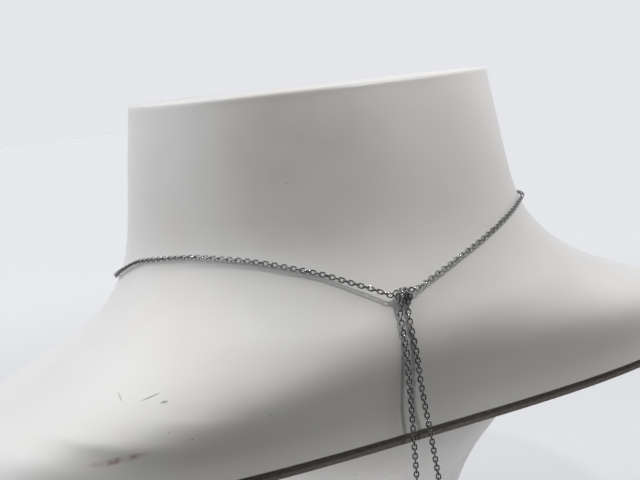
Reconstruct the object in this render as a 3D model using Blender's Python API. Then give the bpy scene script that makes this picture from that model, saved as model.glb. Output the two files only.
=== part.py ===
# Lariat necklace of fine steel cable chain, knotted at the throat of a white neck bust.
# Metres, +Z up. The bust faces -Y, and the origin is the middle of the foot's underside.
import bpy
import bmesh
import numpy as np
from math import ceil, cos, pi, radians, sin
from mathutils import Vector

# Fit between pieces
GAP = 0.0003

# Bust
NECK_RADIUS = 0.0472
RIM_ROUND = 0.0020
SHOULDER_HALF_WIDTH = 0.1024
CHEST_REACH = 0.0626
BACK_REACH = 0.0512
SHOULDER_AHEAD = 0.0100
BUST_HEIGHT = 0.0735
BUST_SIDES = 40

# Board and pedestal
BOARD_THICK = 0.0024
BOARD_INSET = 0.0004
PEDESTAL_HEIGHT = 0.0985
PEDESTAL_WAIST_RADIUS = 0.0270
PEDESTAL_HEAD_HALF_WIDTH = 0.0640
PEDESTAL_HEAD_HALF_DEPTH = 0.0500
PEDESTAL_FOOT_RADIUS = 0.0550
PEDESTAL_SIDES = 32

# Chain
WIRE_DIAMETER = 0.00034
LINK_LENGTH = 0.00168
LINK_WIDTH = 0.00126
LINK_BITE = 0.00004
WIRE_SIDES = 5
CHAIN_REACH = LINK_WIDTH / 2
TUBE_STEP = 0.0045

# Knot at the throat and the free ends below it, whose flat links face FORWARD
KNOT_ANGLE = -7.3
KNOT_DROP = 0.0447
KNOT_HALF_WIDTH = 0.00122
KNOT_WRAP_RADIUS = 0.00117
KNOT_HALF_TURNS = 3
KNOT_ENTRY_SAG = 0.0004
KNOT_LEG_LINKS = 4

# The bust's sections from the rim down, as (drop, width, front, back, ahead, power_front, power_back).
# Drop is a share of the bust's height. Width, front and back are shares of the way from the neck's
# radius out to the shoulder, chest and back reach. Ahead is a share of how far the shoulders' middle
# lies in front of the neck's, and the powers say how square the section is.
BUST_SECTIONS = (
    (0.027, 0.000, 0.000, 0.00, 0.00, 2.00, 2.00),
    (0.100, 0.017, 0.065, 0.20, 0.00, 2.00, 2.00),
    (0.177, 0.033, 0.117, 0.33, 0.00, 2.00, 2.00),
    (0.327, 0.065, 0.227, 0.55, 0.00, 2.00, 2.00),
    (0.435, 0.091, 0.338, 0.45, 0.10, 2.00, 2.00),
    (0.510, 0.121, 0.467, 0.35, 0.30, 2.00, 2.00),
    (0.571, 0.165, 0.610, 0.10, 0.50, 2.02, 1.97),
    (0.626, 0.221, 0.740, -0.10, 0.70, 2.08, 1.93),
    (0.680, 0.301, 0.880, -0.05, 0.90, 2.20, 1.88),
    (0.735, 0.406, 0.950, 0.05, 1.00, 2.40, 1.85),
    (0.789, 0.551, 0.935, 0.35, 1.00, 2.85, 1.85),
    (0.850, 0.750, 0.880, 0.70, 1.00, 3.17, 1.90),
    (0.912, 0.918, 0.840, 0.95, 1.00, 3.10, 2.00),
    (0.966, 0.990, 0.822, 0.95, 1.00, 3.05, 2.10),
    (1.000, 1.000, 0.820, 0.85, 1.00, 3.15, 2.10),
)
BUST_DROPS = (0.07, 0.20, 0.327, 0.42, 0.48, 0.53, 0.571, 0.605, 0.64, 0.68, 0.72, 0.76,
              0.80, 0.83, 0.86, 0.90, 0.95, 1.0)
RIM_ANGLES = (20, 45, 70, 90)

# The pedestal's sections from its top down, as (drop, width, depth). Drop is a share of its height.
# Width and depth are shares of the way from the waist's radius (0) to the head's half width and depth
# above the waist, and to the foot's radius below it.
PEDESTAL_HEAD_SECTIONS = (
    (0.000, 1.000, 1.000), (0.056, 0.825, 0.900), (0.117, 0.645, 0.770), (0.178, 0.470, 0.620),
    (0.249, 0.310, 0.435), (0.330, 0.190, 0.270), (0.421, 0.100, 0.145), (0.510, 0.035, 0.050),
    (0.600, 0.000, 0.000),
)
PEDESTAL_FOOT_SECTIONS = (
    (0.760, 0.04, 0.04), (0.860, 0.20, 0.20), (0.920, 0.50, 0.50), (0.960, 0.85, 0.85),
    (0.980, 1.00, 1.00), (1.000, 1.00, 1.00),
)

# Half of a link's outline along the middle of its wire, as (length, side, width): shares of half its
# length and width.
LINK_HALF_OUTLINE = (
    (1.00, -1, 0.46), (1.00, 1, 0.46), (0.50, 1, 1.00), (0.00, 1, 1.00), (-0.50, 1, 1.00),
)

# The chain's route round the neck, from the left of the knot, as (angle, drop, lift): degrees round the
# section from the front, metres below the neck's top, and how far the chain stands off the bust.
CHAIN_ROUTE = (
    (-7.6, 0.0450, 0.0012), (-10.0, 0.0445, 0.0012), (-13.4, 0.0428, 0.0010), (-18.3, 0.0407, 0.0005),
    (-22.4, 0.0390, 0.0002), (-26.4, 0.0377, 0.0), (-33.7, 0.0359, 0.0), (-39.6, 0.0348, 0.0),
    (-45.8, 0.0342, 0.0), (-52.7, 0.0338, 0.0), (-60.7, 0.0341, 0.0), (-70.7, 0.0352, 0.0),
    (-78.8, 0.0365, 0.0), (-91.4, 0.0403, 0.0), (-100.3, 0.0427, 0.0), (-130.0, 0.0444, 0.0),
    (-180.0, 0.0444, 0.0), (-230.0, 0.0431, 0.0), (-260.0, 0.0402, 0.0), (-277.0, 0.0370, 0.0),
    (-294.0, 0.0345, 0.0), (-311.7, 0.0336, 0.0), (-320.7, 0.0342, 0.0), (-328.9, 0.0353, 0.0),
    (-334.9, 0.0364, 0.0), (-341.9, 0.0379, 0.0), (-347.8, 0.0393, 0.0), (-353.3, 0.0408, 0.0002),
    (-358.3, 0.0422, 0.0005), (-361.5, 0.0432, 0.0008), (-363.9, 0.0440, 0.0010),
    (-366.0, 0.0447, 0.0011),
)

# The two free ends' route below the knot's middle, as (drop, left, right): metres down, and metres
# sideways from the knot's middle.
TAIL_ROUTE = (
    (0.0016, -0.0008, 0.0008), (0.0038, -0.0016, 0.0003), (0.0060, -0.0019, 0.0),
    (0.0120, -0.0021, 0.0001), (0.0175, -0.0022, 0.0004), (0.0230, -0.0022, 0.0009),
    (0.0290, -0.0023, 0.0016), (0.0360, -0.0024, 0.0023), (0.0425, -0.0025, 0.0029),
)

NECK_TOP_Z = PEDESTAL_HEIGHT + GAP + BOARD_THICK + GAP + BUST_HEIGHT
LINK_PITCH = LINK_LENGTH - 2 * WIRE_DIAMETER + LINK_BITE
CHAIN_CLEAR = CHAIN_REACH + GAP
KNOT_REACH = KNOT_WRAP_RADIUS + CHAIN_REACH
FORWARD = Vector((-0.36, -0.93, 0))


def clear_scene():
    for item in list(bpy.data.objects):
        bpy.data.objects.remove(item, do_unlink=True)


def new_collection(name):
    collection = bpy.data.collections.new(name)
    bpy.context.scene.collection.children.link(collection)
    return collection


def material(name, colour, roughness, metallic=0.0, coat=0.0):
    made = bpy.data.materials.new(name)
    made.use_nodes = True
    shader = made.node_tree.nodes["Principled BSDF"]
    shader.inputs["Base Color"].default_value = (*colour, 1.0)
    shader.inputs["Roughness"].default_value = roughness
    shader.inputs["Metallic"].default_value = metallic
    shader.inputs["Coat Weight"].default_value = coat
    made.diffuse_color = (*colour, 1.0)
    return made


def object_from(name, bm, finish, collection, smooth=True):
    bmesh.ops.recalc_face_normals(bm, faces=bm.faces)
    mesh = bpy.data.meshes.new(name)
    bm.to_mesh(mesh)
    bm.free()
    mesh.materials.append(finish)
    if smooth:
        mesh.shade_smooth()
        mesh.set_sharp_from_angle(angle=radians(40))
    made = bpy.data.objects.new(name, mesh)
    collection.objects.link(made)
    return made


def smooth_rows(table, at):
    """The columns of a table read at `at` in its first column, along a smooth curve through its rows."""
    rows = np.array(table, float)
    x, y = rows[:, 0], rows[:, 1:]
    slope = np.gradient(y, x, axis=0)
    i = int(np.clip(np.searchsorted(x, at) - 1, 0, len(x) - 2))
    step = x[i + 1] - x[i]
    u = min(max((at - x[i]) / step, 0.0), 1.0)
    return (
        (2 * u**3 - 3 * u**2 + 1) * y[i]
        + (u**3 - 2 * u**2 + u) * step * slope[i]
        + (3 * u**2 - 2 * u**3) * y[i + 1]
        + (u**3 - u**2) * step * slope[i + 1]
    )


def bust_section(drop):
    """Half width, front, back, ahead and the two powers of the bust's section at this drop."""
    width, front, back, ahead, power_front, power_back = smooth_rows(BUST_SECTIONS, drop / BUST_HEIGHT)
    ahead = ahead * SHOULDER_AHEAD
    half_width = NECK_RADIUS + width * (SHOULDER_HALF_WIDTH - NECK_RADIUS)
    front_reach = NECK_RADIUS + front * (CHEST_REACH - NECK_RADIUS) - ahead
    back_reach = NECK_RADIUS + back * (BACK_REACH - NECK_RADIUS) + ahead
    return half_width, front_reach, back_reach, ahead, power_front, power_back


def section_point(section, angle, inset, z):
    """A point on a section, drawn in by inset. Angle 0 is the front, and it grows towards +X."""
    half_width, front, back, ahead, power_front, power_back = section
    side, forward = sin(angle), cos(angle)
    reach, power = (front, power_front) if forward > 0 else (back, power_back)
    half_width, reach = half_width - inset, reach - inset
    radius = (abs(side / half_width) ** power + abs(forward / reach) ** power) ** (-1 / power)
    return Vector((radius * side, -radius * forward - ahead, z))


def bust_point(angle, drop, clear=0.0):
    """A point on the bust, or this far off it along its normal."""
    step = 1e-5
    here = section_point(bust_section(drop), angle, 0, NECK_TOP_Z - drop)
    along = section_point(bust_section(drop), angle + 1e-3, 0, NECK_TOP_Z - drop) - here
    down = section_point(bust_section(drop + step), angle, 0, NECK_TOP_Z - drop - step) - here
    return here + clear * down.cross(along).normalized()


def chest_front(x, drop):
    """How far the bust reaches forward at this x and drop."""
    half_width, front, _, ahead, power, _ = bust_section(drop)
    return front * (1 - abs(x / half_width) ** power) ** (1 / power) + ahead


def loft(rings):
    """A closed solid through rings of as many points each, with a flat face at both ends."""
    bm = bmesh.new()
    loops = [[bm.verts.new(point) for point in ring] for ring in rings]
    for above, below in zip(loops, loops[1:]):
        for i in range(len(above)):
            j = (i + 1) % len(above)
            bm.faces.new((above[i], above[j], below[j], below[i]))
    bm.faces.new(loops[0])
    bm.faces.new(reversed(loops[-1]))
    return bm


def ring_angles(count):
    return [2 * pi * i / count for i in range(count)]


def build_bust(finish, collection):
    neck = bust_section(RIM_ROUND)
    rings = []
    for degrees_down in (0,) + RIM_ANGLES:
        turn = radians(degrees_down)
        inset = RIM_ROUND * (1 - sin(turn))
        z = NECK_TOP_Z - RIM_ROUND * (1 - cos(turn))
        rings.append([section_point(neck, angle, inset, z) for angle in ring_angles(BUST_SIDES)])
    for share in BUST_DROPS:
        drop = share * BUST_HEIGHT
        section = bust_section(drop)
        rings.append([section_point(section, a, 0, NECK_TOP_Z - drop) for a in ring_angles(BUST_SIDES)])
    return object_from("neck_bust", loft(rings), finish, collection)


def build_board(finish, collection):
    section = bust_section(BUST_HEIGHT)
    top = PEDESTAL_HEIGHT + GAP + BOARD_THICK
    rings = [
        [section_point(section, angle, BOARD_INSET, z) for angle in ring_angles(BUST_SIDES)]
        for z in (top, top - BOARD_THICK)
    ]
    return object_from("bust_board", loft(rings), finish, collection)


def build_pedestal(finish, collection):
    rows = [(row, PEDESTAL_HEAD_HALF_WIDTH, PEDESTAL_HEAD_HALF_DEPTH) for row in PEDESTAL_HEAD_SECTIONS]
    rows += [(row, PEDESTAL_FOOT_RADIUS, PEDESTAL_FOOT_RADIUS) for row in PEDESTAL_FOOT_SECTIONS]
    rings = []
    for (drop, width, depth), widest, deepest in rows:
        half_width = PEDESTAL_WAIST_RADIUS + width * (widest - PEDESTAL_WAIST_RADIUS)
        half_depth = PEDESTAL_WAIST_RADIUS + depth * (deepest - PEDESTAL_WAIST_RADIUS)
        z = PEDESTAL_HEIGHT * (1 - drop)
        rings.append([
            Vector((half_width * sin(angle), -half_depth * cos(angle), z))
            for angle in ring_angles(PEDESTAL_SIDES)
        ])
    return object_from("pedestal", loft(rings), finish, collection)


def smooth_curve(points, per_span):
    """Points along a smooth curve through `points`, which it ends at."""
    ends = [2 * points[0] - points[1]] + list(points) + [2 * points[-1] - points[-2]]
    path = []
    for a, b, c, d in zip(ends, ends[1:], ends[2:], ends[3:]):
        for k in range(per_span):
            u = k / per_span
            path.append(0.5 * (2 * b + (c - a) * u + (2 * a - 5 * b + 4 * c - d) * u**2
                               + (3 * b - 3 * c + d - a) * u**3))
    return path + [points[-1]]


def lengths_along(path):
    run = [0.0]
    for a, b in zip(path, path[1:]):
        run.append(run[-1] + (b - a).length)
    return run


def at_length(path, run, length):
    """The point this far along a path, going straight on past either end."""
    i = int(np.clip(np.searchsorted(run, length) - 1, 0, len(path) - 2))
    return path[i].lerp(path[i + 1], (length - run[i]) / (run[i + 1] - run[i]))


def knot_centre():
    return bust_point(radians(KNOT_ANGLE), KNOT_DROP, KNOT_REACH + GAP)


def build_neck_chain(finish, collection):
    centre = knot_centre()
    route = smooth_curve([Vector(row) for row in CHAIN_ROUTE], 24)
    path = [bust_point(radians(angle), drop, CHAIN_CLEAR + lift) for angle, drop, lift in route]
    clear_of_knot = KNOT_HALF_WIDTH + CHAIN_REACH + LINK_LENGTH / 2 + GAP
    path = [point for point in path if (point - centre).length > clear_of_knot]
    run = lengths_along(path)
    count = ceil(run[-1] / TUBE_STEP) + 1
    curve = bpy.data.curves.new("neck_chain", "CURVE")
    curve.dimensions = "3D"
    curve.bevel_depth = CHAIN_REACH
    curve.bevel_resolution = 2
    curve.use_fill_caps = True
    spline = curve.splines.new("POLY")
    spline.points.add(count - 1)
    for k in range(count):
        spline.points[k].co = (*at_length(path, run, run[-1] * k / (count - 1)), 1)
    curve.materials.append(finish)
    made = bpy.data.objects.new("neck_chain", curve)
    collection.objects.link(made)
    return made


def add_link(bm, place, along, across):
    """One oval link. It lies in the plane of along and across, and its ends are straight across."""
    tangent = along.normalized()
    sideways = (across - across.dot(tangent) * tangent).normalized()
    normal = tangent.cross(sideways)
    half_length = (LINK_LENGTH - WIRE_DIAMETER) / 2
    half_width = (LINK_WIDTH - WIRE_DIAMETER) / 2
    corners = [
        (end * length * half_length * tangent, end * side * width * half_width * sideways)
        for end in (1, -1)
        for length, side, width in LINK_HALF_OUTLINE
    ]
    corners = [forth + over for forth, over in corners]
    loops = []
    for i, corner in enumerate(corners):
        before, after = corners[i - 1], corners[(i + 1) % len(corners)]
        edge_in, edge_out = (corner - before).normalized(), (after - corner).normalized()
        inward = normal.cross(edge_in + edge_out).normalized()
        mitre = 1 / inward.dot(normal.cross(edge_in).normalized())
        loops.append([
            bm.verts.new(place + corner + WIRE_DIAMETER / 2 * (mitre * cos(a) * inward + sin(a) * normal))
            for a in ring_angles(WIRE_SIDES)
        ])
    for ring, after in zip(loops, loops[1:] + loops[:1]):
        for i in range(WIRE_SIDES):
            j = (i + 1) % WIRE_SIDES
            bm.faces.new((ring[i], ring[j], after[j], after[i]))


def link_places(path, first, last):
    """(place, along) of each link whose middle lies between two lengths along a path."""
    run = lengths_along(path)
    count = int(round((last - first) / LINK_PITCH)) + 1
    places = []
    for k in range(count):
        middle = first + k * LINK_PITCH
        ahead = at_length(path, run, middle + LINK_PITCH / 2)
        behind = at_length(path, run, middle - LINK_PITCH / 2)
        places.append(((ahead + behind) / 2, ahead - behind))
    return places


def fused_links(name, strands, finish, collection):
    """Strands of (place, along, across) links made one body: the odd links joined with the even ones."""
    halves = []
    for parity in (0, 1):
        bm = bmesh.new()
        for strand in strands:
            for place, along, across in strand[parity::2]:
                add_link(bm, place, along, across)
        halves.append(object_from(name, bm, finish, collection))
    kept, other = halves
    join = kept.modifiers.new("links", "BOOLEAN")
    join.operation = "UNION"
    join.use_self = True
    join.object = other
    graph = bpy.context.evaluated_depsgraph_get()
    mesh = bpy.data.meshes.new_from_object(kept.evaluated_get(graph))
    kept.modifiers.clear()
    kept.data = mesh
    bpy.data.objects.remove(other, do_unlink=True)
    # The Boolean leaves each flat that it cut as several triangles.
    bm = bmesh.new()
    bm.from_mesh(mesh)
    bmesh.ops.dissolve_limit(bm, angle_limit=radians(2), verts=bm.verts, edges=bm.edges)
    bm.to_mesh(mesh)
    bm.free()
    return kept


def tail_path(side):
    """The free end on one side, -1 or 1, from the knot down over the chest, and hanging plumb past it."""
    centre = knot_centre()
    reach = -centre.y
    points = []
    for down, left, right in TAIL_ROUTE:
        x = centre.x + (left if side < 0 else right)
        drop = NECK_TOP_Z - centre.z + down
        reach = max(reach, chest_front(x, min(drop, BUST_HEIGHT)) + CHAIN_CLEAR)
        points.append(Vector((x, -reach, NECK_TOP_Z - drop)))
    return smooth_curve(points, 12)


def across_of(along, forward, k):
    """Every second link faces forward, and those between are edge on."""
    return along.cross(forward) if k % 2 == 0 else forward


def knot_path(side):
    """A strand through the knot: in from one side, -1 or 1, and round the other strand to the far side."""
    centre = knot_centre()
    wraps = 8 * KNOT_HALF_TURNS
    entry = Vector((side * (KNOT_HALF_WIDTH + CHAIN_REACH), 0, KNOT_WRAP_RADIUS - KNOT_ENTRY_SAG))
    points = [centre + entry]
    for k in range(wraps + 1):
        turn = pi * KNOT_HALF_TURNS * k / wraps
        points.append(centre + Vector((
            side * KNOT_HALF_WIDTH * (1 - 2 * k / wraps),
            side * KNOT_WRAP_RADIUS * sin(turn),
            KNOT_WRAP_RADIUS * cos(turn),
        )))
    return points


def strand_links(path, first, last, forward):
    return [
        (place, along, across_of(along, forward, k))
        for k, (place, along) in enumerate(link_places(path, first, last))
    ]


def build_knot(finish, collection):
    strands = []
    for side in (-1, 1):
        path = knot_path(side)
        strands.append(strand_links(path, 0, lengths_along(path)[-1], FORWARD))
        strands.append(strand_links(tail_path(side), 0, (KNOT_LEG_LINKS - 1) * LINK_PITCH, FORWARD))
    return fused_links("tie_knot", strands, finish, collection)


def build_tail(name, side, finish, collection):
    path = tail_path(side)
    links = strand_links(path, KNOT_LEG_LINKS * LINK_PITCH, lengths_along(path)[-1], FORWARD)
    return fused_links(name, [links], finish, collection)


clear_scene()
parts = new_collection("lariat_necklace_on_neck_bust")
white_gloss = material("white_gloss", (0.80, 0.79, 0.77), 0.16, coat=0.6)
board_brown = material("board_brown", (0.10, 0.085, 0.075), 0.7)
pedestal_white = material("pedestal_white", (0.72, 0.71, 0.70), 0.35)
steel = material("steel", (0.62, 0.62, 0.63), 0.18, metallic=1.0)

build_bust(white_gloss, parts)
build_board(board_brown, parts)
build_pedestal(pedestal_white, parts)
build_neck_chain(steel, parts)
build_knot(steel, parts)
build_tail("tail_left", -1, steel, parts)
build_tail("tail_right", 1, steel, parts)
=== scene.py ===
import math
import random

import bpy
from mathutils import Matrix, Vector
from mathutils.bvhtree import BVHTree


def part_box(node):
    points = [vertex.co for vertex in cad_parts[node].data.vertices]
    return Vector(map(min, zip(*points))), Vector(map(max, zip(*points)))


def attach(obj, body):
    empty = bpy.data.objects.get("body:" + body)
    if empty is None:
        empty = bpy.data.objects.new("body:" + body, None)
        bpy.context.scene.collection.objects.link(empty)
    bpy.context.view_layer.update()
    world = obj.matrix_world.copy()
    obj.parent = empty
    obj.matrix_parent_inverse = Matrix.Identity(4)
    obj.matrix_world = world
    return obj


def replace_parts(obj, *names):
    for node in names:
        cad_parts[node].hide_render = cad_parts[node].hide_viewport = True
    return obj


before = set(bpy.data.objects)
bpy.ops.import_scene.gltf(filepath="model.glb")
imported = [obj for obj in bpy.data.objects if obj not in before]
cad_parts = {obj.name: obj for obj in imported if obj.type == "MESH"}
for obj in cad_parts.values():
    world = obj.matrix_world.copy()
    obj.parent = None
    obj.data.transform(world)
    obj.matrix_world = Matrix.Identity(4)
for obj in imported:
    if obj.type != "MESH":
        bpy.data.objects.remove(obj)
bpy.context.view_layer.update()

# Camera: the photograph's place and angle, in metres and degrees
CAMERA_PLACE = Vector((-0.07887, -0.20209, 0.17744))
CAMERA_TURN = -21.07
CAMERA_DOWN = 11.61
CAMERA_ROLL = 6.28
CAMERA_LENS = 45.0
CAMERA_SENSOR = 36.0
CAMERA_NEAR = 0.01
CAMERA_FAR = 20.0

# Chain sizes, as in the part
WIRE = 0.00034
LINK_LENGTH = 0.00168
LINK_WIDTH = 0.00126
LINK_PITCH = 0.00104
CHAIN_REACH = LINK_WIDTH / 2
CHAIN_CLEAR = 0.0003
KNOT_ANGLE = -7.3
KNOT_DROP = 0.0447
KNOT_HALF_WIDTH = 0.00122
KNOT_WRAP_RADIUS = 0.00117
KNOT_HALF_TURNS = 3
KNOT_ENTRY_SAG = 0.0004
KNOT_LEG_LINKS = 4

# How the chain is laid: points to each half turn of the knot and to each span of a route, how often the
# neck's route is eased, and the most in degrees that a link is turned off its quarter
KNOT_STEPS = 8
ROUTE_STEPS = 12
EASE_PASSES = 6
LINK_ROLL = 9
ROLL_SEED = 7
# Segments round a link and round its wire, for the long stretch and for the knot and free ends
NECK_LINK = (12, 6)
FINE_LINK = (16, 8)

# The chain's route round the neck, as in the part: (angle, drop, lift)
CHAIN_ROUTE = (
    (-7.6, 0.0450, 0.0012), (-10.0, 0.0445, 0.0012), (-13.4, 0.0428, 0.0010), (-18.3, 0.0407, 0.0005),
    (-22.4, 0.0390, 0.0002), (-26.4, 0.0377, 0.0), (-33.7, 0.0359, 0.0), (-39.6, 0.0348, 0.0),
    (-45.8, 0.0342, 0.0), (-52.7, 0.0338, 0.0), (-60.7, 0.0341, 0.0), (-70.7, 0.0352, 0.0),
    (-78.8, 0.0365, 0.0), (-91.4, 0.0403, 0.0), (-100.3, 0.0427, 0.0), (-130.0, 0.0444, 0.0),
    (-180.0, 0.0444, 0.0), (-230.0, 0.0431, 0.0), (-260.0, 0.0402, 0.0), (-277.0, 0.0370, 0.0),
    (-294.0, 0.0345, 0.0), (-311.7, 0.0336, 0.0), (-320.7, 0.0342, 0.0), (-328.9, 0.0353, 0.0),
    (-334.9, 0.0364, 0.0), (-341.9, 0.0379, 0.0), (-347.8, 0.0393, 0.0), (-353.3, 0.0408, 0.0002),
    (-358.3, 0.0422, 0.0005), (-361.5, 0.0432, 0.0008), (-363.9, 0.0440, 0.0010),
    (-366.0, 0.0447, 0.0011),
)
# The free ends' route below the knot's middle, as in the part: (drop, left, right)
TAIL_ROUTE = (
    (0.0016, -0.0008, 0.0008), (0.0038, -0.0016, 0.0003), (0.0060, -0.0019, 0.0),
    (0.0120, -0.0021, 0.0001), (0.0175, -0.0022, 0.0004), (0.0230, -0.0022, 0.0009),
    (0.0290, -0.0023, 0.0016), (0.0360, -0.0024, 0.0023), (0.0425, -0.0025, 0.0029),
)
# How far the bust's sections are set forward of the neck's axis, as (drop, ahead)
SECTION_AHEAD = ((0.0, 0.0), (0.024, 0.0), (0.032, 0.001), (0.0375, 0.003), (0.042, 0.005), (0.046, 0.007),
                 (0.050, 0.009), (0.054, 0.010))

# Where the knot's and the free ends' flat links face
FORWARD = Vector((-0.36, -0.93, 0))

# The bust's neck and rim as in the part, its hem's flare, and the share of the rim's rounding that is kept
NECK_TOP_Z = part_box("neck_bust")[1][2]
NECK_RADIUS = 0.0472
RIM_ROUND = 0.0020
RIM_SHARE = 0.55
HEM_FLARE = 1.009

# Rays at the bust start this far out, and stay this far above its hem
RAY_START = 0.3
HEM_MARGIN = 0.0001

# The differences in metres below which a vertex is on the axis, on a ring, on a level edge, or on another
AXIS_TOLERANCE = 1e-6
RING_TOLERANCE = 2e-6
LEVEL_TOLERANCE = 1e-5
MERGE_DISTANCE = 5e-6

# A CAD mesh back in quads and smoothed: the angles in degrees below which faces are flat, join in a quad
# by their slope and by their shape, and are shaded as one
FLAT_ANGLE = 0.3
QUAD_SLOPE = 35
QUAD_SHAPE = 120
SMOOTH_ANGLE = 35
SMOOTH_LEVELS = 2


def put_camera():
    turn, down, roll = (math.radians(v) for v in (CAMERA_TURN, CAMERA_DOWN, CAMERA_ROLL))
    ahead = Vector((-math.sin(turn) * math.cos(down), math.cos(turn) * math.cos(down), -math.sin(down)))
    level = Vector((math.cos(turn), math.sin(turn), 0))
    over = level.cross(ahead)
    right = math.cos(roll) * level - math.sin(roll) * over
    up = math.sin(roll) * level + math.cos(roll) * over
    data = bpy.data.cameras.new("camera")
    data.lens = CAMERA_LENS
    data.sensor_width = CAMERA_SENSOR
    data.clip_start = CAMERA_NEAR
    data.clip_end = CAMERA_FAR
    camera = bpy.data.objects.new("camera", data)
    camera.matrix_world = Matrix((
        (right.x, up.x, -ahead.x, CAMERA_PLACE.x),
        (right.y, up.y, -ahead.y, CAMERA_PLACE.y),
        (right.z, up.z, -ahead.z, CAMERA_PLACE.z),
        (0, 0, 0, 1),
    ))
    bpy.context.scene.collection.objects.link(camera)
    bpy.context.scene.camera = camera


put_camera()
bpy.context.scene.view_settings.view_transform = "Standard"


def new_material(name):
    made = bpy.data.materials.new(name)
    made.use_nodes = True
    nodes = made.node_tree.nodes
    return made, nodes, made.node_tree.links, nodes["Principled BSDF"]


def noise(nodes, links, vector, scale, detail=4.0, roughness=0.55):
    node = nodes.new("ShaderNodeTexNoise")
    node.inputs["Scale"].default_value = scale
    node.inputs["Detail"].default_value = detail
    node.inputs["Roughness"].default_value = roughness
    links.new(vector, node.inputs["Vector"])
    return node.outputs["Fac"]


def spread(nodes, links, value, low, high, to_low, to_high, smooth=False):
    node = nodes.new("ShaderNodeMapRange")
    node.interpolation_type = "SMOOTHSTEP" if smooth else "LINEAR"
    for name, number in (("From Min", low), ("From Max", high), ("To Min", to_low), ("To Max", to_high)):
        node.inputs[name].default_value = number
    links.new(value, node.inputs["Value"])
    return node.outputs["Result"]


def mixed(nodes, links, share, one, other):
    """Colour one where share is 0 and other where it is 1. Each is a socket or a colour."""
    node = nodes.new("ShaderNodeMix")
    node.data_type = "RGBA"
    links.new(share, node.inputs["Factor"])
    for socket, colour in ((node.inputs["A"], one), (node.inputs["B"], other)):
        if isinstance(colour, tuple):
            socket.default_value = (*colour, 1.0)
        else:
            links.new(colour, socket)
    return node.outputs["Result"]


def bump(nodes, links, height, distance, strength):
    node = nodes.new("ShaderNodeBump")
    node.inputs["Strength"].default_value = strength
    node.inputs["Distance"].default_value = distance
    links.new(height, node.inputs["Height"])
    return node.outputs["Normal"]


def combined(nodes, links, operation, one, other):
    """Two values multiplied, or the larger of them, as the operation says."""
    node = nodes.new("ShaderNodeMath")
    node.operation = operation
    links.new(one, node.inputs[0])
    links.new(other, node.inputs[1])
    return node.outputs["Value"]


def length_of(nodes, links, vector):
    node = nodes.new("ShaderNodeVectorMath")
    node.operation = "LENGTH"
    links.new(vector, node.inputs[0])
    return node.outputs["Value"]


def object_coordinates(nodes):
    return nodes.new("ShaderNodeTexCoord").outputs["Object"]


# Finishes, as pairs of colours that clouds, fibres or patches mix
BUST_WHITES = ((0.79, 0.785, 0.775), (0.735, 0.72, 0.705))
PEDESTAL_GREYS = ((0.80, 0.80, 0.80), (0.76, 0.755, 0.75))
BOARD_BROWNS = ((0.19, 0.17, 0.155), (0.36, 0.33, 0.31))
STEEL_GREYS = ((0.22, 0.215, 0.21), (0.40, 0.40, 0.40))


# Small marks on the bust, as (x, y, z, half length, half width, slant, strength): metres, and degrees
# from level. They are the dash, scratches, smudge and specks on its left shoulder, chest and neck.
SCUFFS = (
    (-0.0646, -0.0437, 0.1183, 0.0009, 0.00018, 98, 0.45),
    (-0.0592, -0.0480, 0.1184, 0.0026, 0.00012, 16, 0.60),
    (-0.0571, -0.0516, 0.1177, 0.0010, 0.00025, 8, 0.60),
    (-0.0577, -0.0571, 0.1132, 0.0003, 0.00035, 0, 0.35),
    (-0.0538, -0.0594, 0.1114, 0.0003, 0.00040, 25, 0.85),
    (-0.0640, -0.0588, 0.1090, 0.0003, 0.00030, 20, 0.85),
    (-0.0594, -0.0585, 0.1106, 0.0003, 0.00040, -30, 0.40),
    (-0.0384, -0.0611, 0.1132, 0.0003, 0.00025, 0, 0.45),
    (-0.0240, -0.0450, 0.1560, 0.0003, 0.00025, 0, 0.40),
)
SCUFF_HALF_DEPTH = 0.004
SCUFF_COLOUR = (0.10, 0.085, 0.075)
# The faint reddish stain low on the left of the chest, as a place, half sizes and slant
STAIN_PLACE = (-0.0690, -0.0565, 0.1092)
STAIN_HALF = (0.0085, 0.008, 0.0010)
STAIN_SLANT = 6
STAIN_COLOUR = (0.30, 0.17, 0.13)
# A darker, warm grey patch on the front of the neck
PATCH_PLACE = (-0.0200, -0.0440, 0.1600)
PATCH_HALF = (0.0240, 0.0200, 0.0240)
PATCH_COLOUR = (0.66, 0.62, 0.595)
# The share of a mark's size inside which it has its full strength
MARK_CORE = 0.45


def ellipse_mask(nodes, links, vector, place, half, slant=0.0):
    """1 in the middle of an ellipsoid and 0 at its edge."""
    mapping = nodes.new("ShaderNodeMapping")
    mapping.vector_type = "TEXTURE"
    mapping.inputs["Location"].default_value = place
    mapping.inputs["Rotation"].default_value = (0, math.radians(-slant), 0)
    mapping.inputs["Scale"].default_value = half
    links.new(vector, mapping.inputs["Vector"])
    length = length_of(nodes, links, mapping.outputs["Vector"])
    return spread(nodes, links, length, MARK_CORE, 1.0, 1.0, 0.0, smooth=True)


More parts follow.
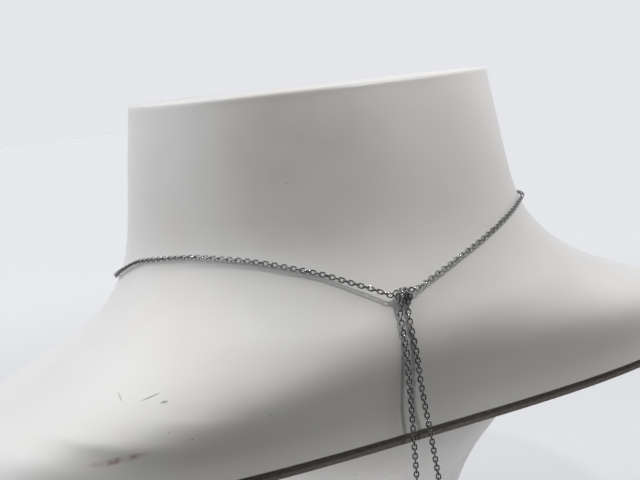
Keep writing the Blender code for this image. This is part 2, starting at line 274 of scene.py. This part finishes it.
def white_gloss():
    made, nodes, links, shader = new_material("white_gloss")
    where = object_coordinates(nodes)
    clouds = noise(nodes, links, where, 28.0, 3.0)
    base = mixed(nodes, links, spread(nodes, links, clouds, 0.35, 0.70, 0, 1), *BUST_WHITES)
    patch = ellipse_mask(nodes, links, where, PATCH_PLACE, PATCH_HALF)
    patch_clouds = spread(nodes, links, noise(nodes, links, where, 70.0, 3.0), 0.35, 0.65, 0.45, 0.9)
    base = mixed(nodes, links, combined(nodes, links, "MULTIPLY", patch, patch_clouds), base, PATCH_COLOUR)
    stain = ellipse_mask(nodes, links, where, STAIN_PLACE, STAIN_HALF, STAIN_SLANT)
    stain_breaks = spread(nodes, links, noise(nodes, links, where, 420.0), 0.42, 0.62, 0.15, 0.75)
    base = mixed(nodes, links, combined(nodes, links, "MULTIPLY", stain, stain_breaks), base, STAIN_COLOUR)
    worn = None
    for x, y, z, half_length, half_width, slant, strength in SCUFFS:
        half = (half_length, SCUFF_HALF_DEPTH, half_width)
        mask = ellipse_mask(nodes, links, where, (x, y, z), half, slant)
        mask = spread(nodes, links, mask, 0, 1, 0, strength)
        worn = combined(nodes, links, "MAXIMUM", worn, mask) if worn else mask
    base = mixed(nodes, links, worn, base, SCUFF_COLOUR)
    links.new(base, shader.inputs["Base Color"])
    smears = noise(nodes, links, where, 60.0, 6.0, 0.7)
    links.new(spread(nodes, links, smears, 0.3, 0.8, 0.36, 0.46), shader.inputs["Roughness"])
    shader.inputs["IOR"].default_value = 1.5
    shader.inputs["Coat Weight"].default_value = 0.25
    shader.inputs["Coat Roughness"].default_value = 0.30
    links.new(bump(nodes, links, noise(nodes, links, where, 130.0, 2.0), 0.0003, 0.10),
              shader.inputs["Normal"])
    return made


def pedestal_gloss():
    made, nodes, links, shader = new_material("pedestal_gloss")
    where = object_coordinates(nodes)
    base = mixed(nodes, links, noise(nodes, links, where, 40.0, 3.0), *PEDESTAL_GREYS)
    links.new(base, shader.inputs["Base Color"])
    links.new(spread(nodes, links, noise(nodes, links, where, 90.0, 5.0), 0.3, 0.8, 0.25, 0.38),
              shader.inputs["Roughness"])
    links.new(bump(nodes, links, noise(nodes, links, where, 300.0, 2.0), 0.0003, 0.03),
              shader.inputs["Normal"])
    return made


def board_edge():
    made, nodes, links, shader = new_material("board_edge")
    where = object_coordinates(nodes)
    mapping = nodes.new("ShaderNodeMapping")
    mapping.inputs["Scale"].default_value = (1.0, 1.0, 3.0)
    links.new(where, mapping.inputs["Vector"])
    fibres = noise(nodes, links, mapping.outputs["Vector"], 900.0, 6.0, 0.7)
    base = mixed(nodes, links, spread(nodes, links, fibres, 0.35, 0.7, 0, 1), *BOARD_BROWNS)
    links.new(base, shader.inputs["Base Color"])
    shader.inputs["Roughness"].default_value = 0.8
    links.new(bump(nodes, links, fibres, 0.0004, 0.5), shader.inputs["Normal"])
    return made


def chain_steel():
    made, nodes, links, shader = new_material("chain_steel")
    where = object_coordinates(nodes)
    patches = noise(nodes, links, where, 900.0, 3.0)
    base = mixed(nodes, links, patches, *STEEL_GREYS)
    links.new(base, shader.inputs["Base Color"])
    shader.inputs["Metallic"].default_value = 1.0
    links.new(spread(nodes, links, noise(nodes, links, where, 2600.0, 4.0), 0.3, 0.7, 0.05, 0.12),
              shader.inputs["Roughness"])
    return made


def dress(piece, material):
    piece.data.materials.clear()
    piece.data.materials.append(material)


def select_only(piece):
    if bpy.context.object and bpy.context.object.mode != "OBJECT":
        bpy.ops.object.mode_set(mode="OBJECT")
    bpy.ops.object.select_all(action="DESELECT")
    piece.select_set(True)
    bpy.context.view_layer.objects.active = piece


def merged_copy(node, name):
    """A copy of a CAD node's mesh with its loose triangles joined, in quads where they were quads."""
    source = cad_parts[node]
    piece = bpy.data.objects.new(name, source.data.copy())
    bpy.context.scene.collection.objects.link(piece)
    piece.data.transform(source.matrix_world)
    select_only(piece)
    bpy.ops.object.mode_set(mode="EDIT")
    bpy.ops.mesh.select_all(action="SELECT")
    bpy.ops.mesh.remove_doubles(threshold=MERGE_DISTANCE)
    bpy.ops.mesh.customdata_custom_splitnormals_clear()
    bpy.ops.mesh.dissolve_limited(angle_limit=math.radians(FLAT_ANGLE))
    bpy.ops.mesh.tris_convert_to_quads(
        face_threshold=math.radians(QUAD_SLOPE), shape_threshold=math.radians(QUAD_SHAPE)
    )
    bpy.ops.object.mode_set(mode="OBJECT")
    return piece


def crease_level_edges(piece, heights):
    """Sharp edges at these heights stay sharp under the subdivision."""
    mesh = piece.data
    crease = mesh.attributes.new("crease_edge", "FLOAT", "EDGE")
    for edge in mesh.edges:
        ends = [mesh.vertices[i].co.z for i in edge.vertices]
        if any(all(abs(z - height) < LEVEL_TOLERANCE for z in ends) for height in heights):
            crease.data[edge.index].value = 1.0


def smoothed(piece):
    modifier = piece.modifiers.new("smooth", "SUBSURF")
    modifier.levels = SMOOTH_LEVELS
    modifier.render_levels = SMOOTH_LEVELS
    select_only(piece)
    bpy.ops.object.modifier_apply(modifier=modifier.name)
    bpy.ops.object.shade_smooth_by_angle(angle=math.radians(SMOOTH_ANGLE))


def ring_at(piece, height):
    return [vertex for vertex in piece.data.vertices if abs(vertex.co.z - height) < RING_TOLERANCE]


def move_ring(piece, height, share, rise=0.0):
    """The vertices at one height, scaled about the axis by this share and raised."""
    select_only(piece)
    bpy.ops.object.mode_set(mode="EDIT")
    bpy.ops.mesh.select_mode(type="VERT")
    bpy.ops.mesh.select_all(action="DESELECT")
    bpy.ops.object.mode_set(mode="OBJECT")
    for vertex in ring_at(piece, height):
        vertex.select = True
    bpy.ops.object.mode_set(mode="EDIT")
    bpy.ops.transform.resize(value=(share, share, 1), center_override=(0, 0, height))
    bpy.ops.transform.translate(value=(0, 0, rise))
    bpy.ops.object.mode_set(mode="OBJECT")


def shape_bust(piece):
    """The hem turned out a little, as a wrapped hem is, and the rim's rounding drawn tighter."""
    move_ring(piece, bust_foot, HEM_FLARE)
    rim = sorted({round(vertex.co.z, 6) for vertex in piece.data.vertices
                  if vertex.co.z > NECK_TOP_Z - RIM_ROUND + AXIS_TOLERANCE})
    for height in reversed(rim):
        radius = max(vertex.co.xy.length for vertex in ring_at(piece, height))
        wider = NECK_RADIUS - RIM_SHARE * (NECK_RADIUS - radius)
        move_ring(piece, height, wider / radius, (1 - RIM_SHARE) * (NECK_TOP_Z - height))


def node_of(name, node, sharp_heights, material, shape=None):
    """A smoothed and dressed piece in a CAD node's place."""
    piece = merged_copy(node, name)
    if shape:
        shape(piece)
    crease_level_edges(piece, sharp_heights)
    smoothed(piece)
    dress(piece, material)
    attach(piece, "root")
    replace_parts(piece, node)
    return piece


bust_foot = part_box("neck_bust")[0][2]
board_low, board_high = (corner[2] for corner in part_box("bust_board"))
pedestal_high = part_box("pedestal")[1][2]
bust = node_of("bust_shell", "neck_bust", (bust_foot,), white_gloss(), shape_bust)
node_of("board_plate", "bust_board", (board_low, board_high), board_edge())
node_of("pedestal_stem", "pedestal", (pedestal_high, 0.0), pedestal_gloss())

surface = BVHTree.FromObject(bust, bpy.context.evaluated_depsgraph_get())


def section_ahead(drop):
    for (above, ahead), (below, further) in zip(SECTION_AHEAD, SECTION_AHEAD[1:]):
        if drop <= below:
            return ahead + (further - ahead) * max(drop - above, 0) / (below - above)
    return SECTION_AHEAD[-1][1]


def bust_point(degrees, drop, clear):
    """A point this far off the bust, at an angle round its section from the front."""
    angle = math.radians(degrees)
    out = Vector((math.sin(angle), -math.cos(angle), 0))
    middle = Vector((0, -section_ahead(drop), NECK_TOP_Z - drop))
    hit, normal, _, _ = surface.ray_cast(middle + RAY_START * out, -out)
    return hit + clear * normal


def smooth_curve(points):
    ends = [2 * points[0] - points[1]] + list(points) + [2 * points[-1] - points[-2]]
    path = []
    for a, b, c, d in zip(ends, ends[1:], ends[2:], ends[3:]):
        for k in range(ROUTE_STEPS):
            u = k / ROUTE_STEPS
            path.append(0.5 * (2 * b + (c - a) * u + (2 * a - 5 * b + 4 * c - d) * u**2
                               + (3 * b - 3 * c + d - a) * u**3))
    return path + [points[-1]]


def lengths_along(path):
    run = [0.0]
    for a, b in zip(path, path[1:]):
        run.append(run[-1] + (b - a).length)
    return run


def at_length(path, run, length):
    low, high = 0, len(path) - 1
    while high - low > 1:
        middle = (low + high) // 2
        if run[middle] <= length:
            low = middle
        else:
            high = middle
    return path[low].lerp(path[low + 1], (length - run[low]) / (run[low + 1] - run[low]))


def link_model(rings, wire_sides):
    """One link at the origin, along X and lying in the XY plane."""
    bpy.ops.object.select_all(action="DESELECT")
    bend = (LINK_WIDTH - WIRE) / 2
    bpy.ops.mesh.primitive_torus_add(
        major_radius=bend, minor_radius=WIRE / 2, major_segments=rings, minor_segments=wire_sides,
        rotation=(0, 0, math.pi / rings),
    )
    link = bpy.context.object
    link.name = "link_model"
    bpy.ops.object.transform_apply(rotation=True)
    stretch = (LINK_LENGTH - LINK_WIDTH) / 2
    for side in (-1, 1):
        bpy.ops.object.mode_set(mode="EDIT")
        bpy.ops.mesh.select_all(action="DESELECT")
        bpy.ops.object.mode_set(mode="OBJECT")
        for vertex in link.data.vertices:
            vertex.select = vertex.co.x * side > AXIS_TOLERANCE
        bpy.ops.object.mode_set(mode="EDIT")
        bpy.ops.transform.translate(value=(side * stretch, 0, 0))
        bpy.ops.object.mode_set(mode="OBJECT")
    bpy.ops.object.shade_smooth()
    return link


def link_frame(place, along, flat_normal):
    """The place and turn of a link that runs along, with its plane square to flat_normal."""
    forth = along.normalized()
    up = (flat_normal - flat_normal.dot(forth) * forth).normalized()
    over = up.cross(forth)
    return Matrix((
        (forth.x, over.x, up.x, place.x),
        (forth.y, over.y, up.y, place.y),
        (forth.z, over.z, up.z, place.z),
        (0, 0, 0, 1),
    ))


def strand(path, first, last, normal_at, rolls):
    """The frames of a strand's links. Each is turned a quarter from the one before, give or take a roll."""
    run = lengths_along(path)
    count = int(round((last - first) / LINK_PITCH)) + 1
    frames = []
    for k in range(count):
        middle = first + k * LINK_PITCH
        ahead = at_length(path, run, middle + LINK_PITCH / 2)
        behind = at_length(path, run, middle - LINK_PITCH / 2)
        place = (ahead + behind) / 2
        along = ahead - behind
        quarter = math.pi / 2 * (k % 2)
        roll = quarter + math.radians(rolls.uniform(-LINK_ROLL, LINK_ROLL))
        up = Matrix.Rotation(roll, 3, along.normalized()) @ normal_at(place)
        frames.append(link_frame(place, along, up))
    return frames


def chain_piece(name, model, frames, material):
    """Copies of the link joined into one piece."""
    copies = []
    for turned in frames:
        copy = bpy.data.objects.new(name, model.data.copy())
        copy.data.transform(turned)
        bpy.context.scene.collection.objects.link(copy)
        copies.append(copy)
    bpy.ops.object.select_all(action="DESELECT")
    for copy in copies:
        copy.select_set(True)
    bpy.context.view_layer.objects.active = copies[0]
    bpy.ops.object.join()
    piece = bpy.context.object
    piece.name = name
    dress(piece, material)
    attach(piece, "root")
    return piece


def outward(place):
    """The bust's outward direction nearest a place."""
    return surface.find_nearest(place)[1]


def forward(place):
    """The same direction at every place, for strands that hang free of the bust."""
    return FORWARD


def knot_centre():
    return bust_point(KNOT_ANGLE, KNOT_DROP, KNOT_WRAP_RADIUS + CHAIN_REACH + CHAIN_CLEAR)


def knot_path(side):
    """A strand through the knot: in from one side, -1 or 1, and round the other strand to the far side."""
    centre = knot_centre()
    wraps = KNOT_STEPS * KNOT_HALF_TURNS
    entry = Vector((side * (KNOT_HALF_WIDTH + CHAIN_REACH), 0, KNOT_WRAP_RADIUS - KNOT_ENTRY_SAG))
    points = [centre + entry]
    for k in range(wraps + 1):
        turn = math.pi * KNOT_HALF_TURNS * k / wraps
        points.append(centre + Vector((
            side * KNOT_HALF_WIDTH * (1 - 2 * k / wraps),
            side * KNOT_WRAP_RADIUS * math.sin(turn),
            KNOT_WRAP_RADIUS * math.cos(turn),
        )))
    return points


def tail_path(side):
    """A free end down from the knot, which hangs clear of all of the chest above it."""
    centre = knot_centre()
    reach = -centre.y
    points = []
    for down, left, right in TAIL_ROUTE:
        x = centre.x + (left if side < 0 else right)
        z = centre.z - down
        start = Vector((x, -RAY_START, max(z, bust_foot + HEM_MARGIN)))
        hit = surface.ray_cast(start, Vector((0, 1, 0)))[0]
        reach = max(reach, -hit.y + CHAIN_REACH + CHAIN_CLEAR)
        points.append(Vector((x, -reach, z)))
    return smooth_curve(points)


def kept_off(place, clear):
    """The place, moved straight out from the bust where it is nearer than this."""
    hit, _, _, distance = surface.find_nearest(place)
    return place if distance >= clear else hit + clear * (place - hit).normalized()


def neck_path():
    """The route round the neck, eased so that no facet of the bust shows in it, and kept off the bust."""
    rows = smooth_curve([Vector(row) for row in CHAIN_ROUTE])
    path = [bust_point(row[0], row[1], CHAIN_REACH + CHAIN_CLEAR + row[2]) for row in rows]
    for _ in range(EASE_PASSES):
        path = [path[0]] + [
            (a + 2 * b + c) / 4 for a, b, c in zip(path, path[1:], path[2:])
        ] + [path[-1]]
    return [kept_off(place, CHAIN_REACH + CHAIN_CLEAR) for place in path]


steel = chain_steel()
rolls = random.Random(ROLL_SEED)

# The neck's links stop where the knot begins.
small_link = link_model(*NECK_LINK)
centre = knot_centre()
knot_reach = KNOT_HALF_WIDTH + CHAIN_REACH + LINK_LENGTH / 3
neck_route = [place for place in neck_path() if (place - centre).length > knot_reach]
neck_run = lengths_along(neck_route)[-1]
neck_frames = strand(neck_route, LINK_PITCH / 2, neck_run - LINK_PITCH / 2, outward, rolls)
neck_links = chain_piece("neck_links", small_link, neck_frames, steel)
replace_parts(neck_links, "neck_chain")

fine_link = link_model(*FINE_LINK)
knot_frames = []
for side in (-1, 1):
    wrap = knot_path(side)
    knot_frames += strand(wrap, 0, lengths_along(wrap)[-1], forward, rolls)
    knot_frames += strand(tail_path(side), 0, (KNOT_LEG_LINKS - 1) * LINK_PITCH, forward, rolls)
knot_links = chain_piece("knot_links", fine_link, knot_frames, steel)
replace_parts(knot_links, "tie_knot")

for side, name, node in ((-1, "tail_links_left", "tail_left"), (1, "tail_links_right", "tail_right")):
    route = tail_path(side)
    frames = strand(route, KNOT_LEG_LINKS * LINK_PITCH, lengths_along(route)[-1], forward, rolls)
    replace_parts(chain_piece(name, fine_link, frames, steel), node)

for model in (small_link, fine_link):
    bpy.data.objects.remove(model, do_unlink=True)


# The stage: its sizes, and the near and far distances between which the floor's painted glow grows; nearer
# in, the floor is left darker as a painted shade round the object
FLOOR_SIZE = 8.0
BACKDROP_RADIUS = 3.9
PAINTED_GLOW_NEAR = 0.12
PAINTED_GLOW_FAR = 0.6
PAINTED_GLOW_STRENGTH = 0.20


def put_floor():
    """A pale floor with a painted glow that fades out near the object, a painted shade round it. Its glow
    doesn't fill the bust's shaded front.
    """
    bpy.ops.object.select_all(action="DESELECT")
    bpy.ops.mesh.primitive_plane_add(size=FLOOR_SIZE, location=(0, 0, 0))
    floor = bpy.context.object
    floor.name = "floor"
    made, nodes, links, shader = new_material("floor_pale_painted_glow")
    shader.inputs["Base Color"].default_value = (0.80, 0.81, 0.83, 1)
    shader.inputs["Roughness"].default_value = 0.7
    # Painted light: the floor glows more the further it is from the object, so the darker floor close to it
    # is painted shade
    away = length_of(nodes, links, object_coordinates(nodes))
    shader.inputs["Emission Color"].default_value = (0.97, 0.98, 1.0, 1)
    links.new(spread(nodes, links, away, PAINTED_GLOW_NEAR, PAINTED_GLOW_FAR, 0.0, PAINTED_GLOW_STRENGTH, smooth=True),
              shader.inputs["Emission Strength"])
    floor.data.materials.append(made)
    floor.visible_diffuse = False
    floor.visible_glossy = False


def put_backdrop():
    """A pale round wall behind the floor, which neither lights nor shades the object."""
    bpy.ops.object.select_all(action="DESELECT")
    bpy.ops.mesh.primitive_uv_sphere_add(
        segments=64, ring_count=32, radius=BACKDROP_RADIUS, location=(0, 0, 0)
    )
    bpy.ops.object.shade_smooth()
    backdrop = bpy.context.object
    backdrop.name = "backdrop"
    made, nodes, links, shader = new_material("backdrop_pale")
    shader.inputs["Base Color"].default_value = (0, 0, 0, 1)
    shader.inputs["Specular IOR Level"].default_value = 0.0
    shader.inputs["Emission Color"].default_value = (0.785, 0.795, 0.83, 1)
    shader.inputs["Emission Strength"].default_value = 1.0
    backdrop.data.materials.append(made)
    backdrop.visible_diffuse = False
    backdrop.visible_glossy = False
    backdrop.visible_transmission = False
    backdrop.visible_shadow = False


# The surround's soft lights, as (towards, sharpness, strength, colour). It is darkest in front of the bust.
SOFT_LIGHTS = (
    ((0.36, 0.93, 0.0), 1, 0.82, (0.965, 0.975, 1.02)),
    ((-0.93, 0.36, 0.0), 2, 0.20, (0.98, 0.985, 1.0)),
    ((-0.66, 0.25, 0.71), 6, 3.00, (0.99, 0.995, 1.0)),
    ((0.66, -0.25, -0.71), 4, 0.50, (1.0, 0.995, 0.99)),
)


def put_surround():
    """The sum of the soft lights, each brightest the way it lies and gone at a right angle to it."""
    world = bpy.data.worlds.new("surround")
    bpy.context.scene.world = world
    world.use_nodes = True
    nodes, links = world.node_tree.nodes, world.node_tree.links
    where = nodes.new("ShaderNodeTexCoord").outputs["Generated"]
    total = None
    for towards, sharpness, strength, colour in SOFT_LIGHTS:
        facing = nodes.new("ShaderNodeVectorMath")
        facing.operation = "DOT_PRODUCT"
        facing.inputs[1].default_value = towards
        links.new(where, facing.inputs[0])
        front = nodes.new("ShaderNodeMath")
        front.operation = "MAXIMUM"
        front.inputs[1].default_value = 0.0
        links.new(facing.outputs["Value"], front.inputs[0])
        lobe = nodes.new("ShaderNodeMath")
        lobe.operation = "POWER"
        lobe.inputs[1].default_value = sharpness
        links.new(front.outputs["Value"], lobe.inputs[0])
        tinted = nodes.new("ShaderNodeVectorMath")
        tinted.operation = "SCALE"
        tinted.inputs[0].default_value = [strength * channel for channel in colour]
        links.new(lobe.outputs["Value"], tinted.inputs["Scale"])
        if total is None:
            total = tinted.outputs["Vector"]
            continue
        both = nodes.new("ShaderNodeVectorMath")
        both.operation = "ADD"
        links.new(total, both.inputs[0])
        links.new(tinted.outputs["Vector"], both.inputs[1])
        total = both.outputs["Vector"]
    links.new(total, nodes["Background"].inputs["Color"])
    nodes["Background"].inputs["Strength"].default_value = 1.0


# Lamps, as (name, place, target, size, watts, mirrored in gloss). The small one, close above the front,
# draws the chain's shadows, and the broad ones fill from above and from the right.
LAMP_COLOUR = (1.0, 0.985, 0.97)
LAMPS = (
    ("lamp_small", (0.04, -0.19, 0.33), (0, -0.03, 0.12), (0.014, 0.008), 0.17, True),
    ("lamp_broad", (0.12, -0.12, 0.30), (0, -0.03, 0.12), (0.12, 0.12), 0.145, True),
    ("lamp_right", (0.25, 0.02, 0.20), (0, -0.01, 0.15), (0.12, 0.12), 0.10, False),
)
# The floor's glow on the pedestal, which the bust hangs over, as (name, x, y, watts)
GLOWS = (
    ("glow_front", -0.025, -0.054, 0.020), ("glow_back", 0.0, 0.052, 0.012),
    ("glow_left", -0.080, 0.0, 0.005), ("glow_right", 0.080, 0.0, 0.005),
)
GLOW_HEIGHT = 0.040
GLOW_TARGET = (0, 0, 0.070)
GLOW_SIZE = (0.10, 0.05)


def put_lamp(name, place, target, size, watts, glossy):
    data = bpy.data.lights.new(name, "AREA")
    data.shape = "RECTANGLE"
    data.size, data.size_y = size
    data.energy = watts
    data.color = LAMP_COLOUR
    light = bpy.data.objects.new(name, data)
    light.location = place
    light.rotation_euler = (Vector(target) - Vector(place)).to_track_quat("-Z", "Y").to_euler()
    light.visible_camera = False
    light.visible_glossy = glossy
    bpy.context.scene.collection.objects.link(light)


put_floor()
put_backdrop()
put_surround()
for lamp in LAMPS:
    put_lamp(*lamp)
for name, x, y, watts in GLOWS:
    put_lamp(name, (x, y, GLOW_HEIGHT), GLOW_TARGET, GLOW_SIZE, watts, False)
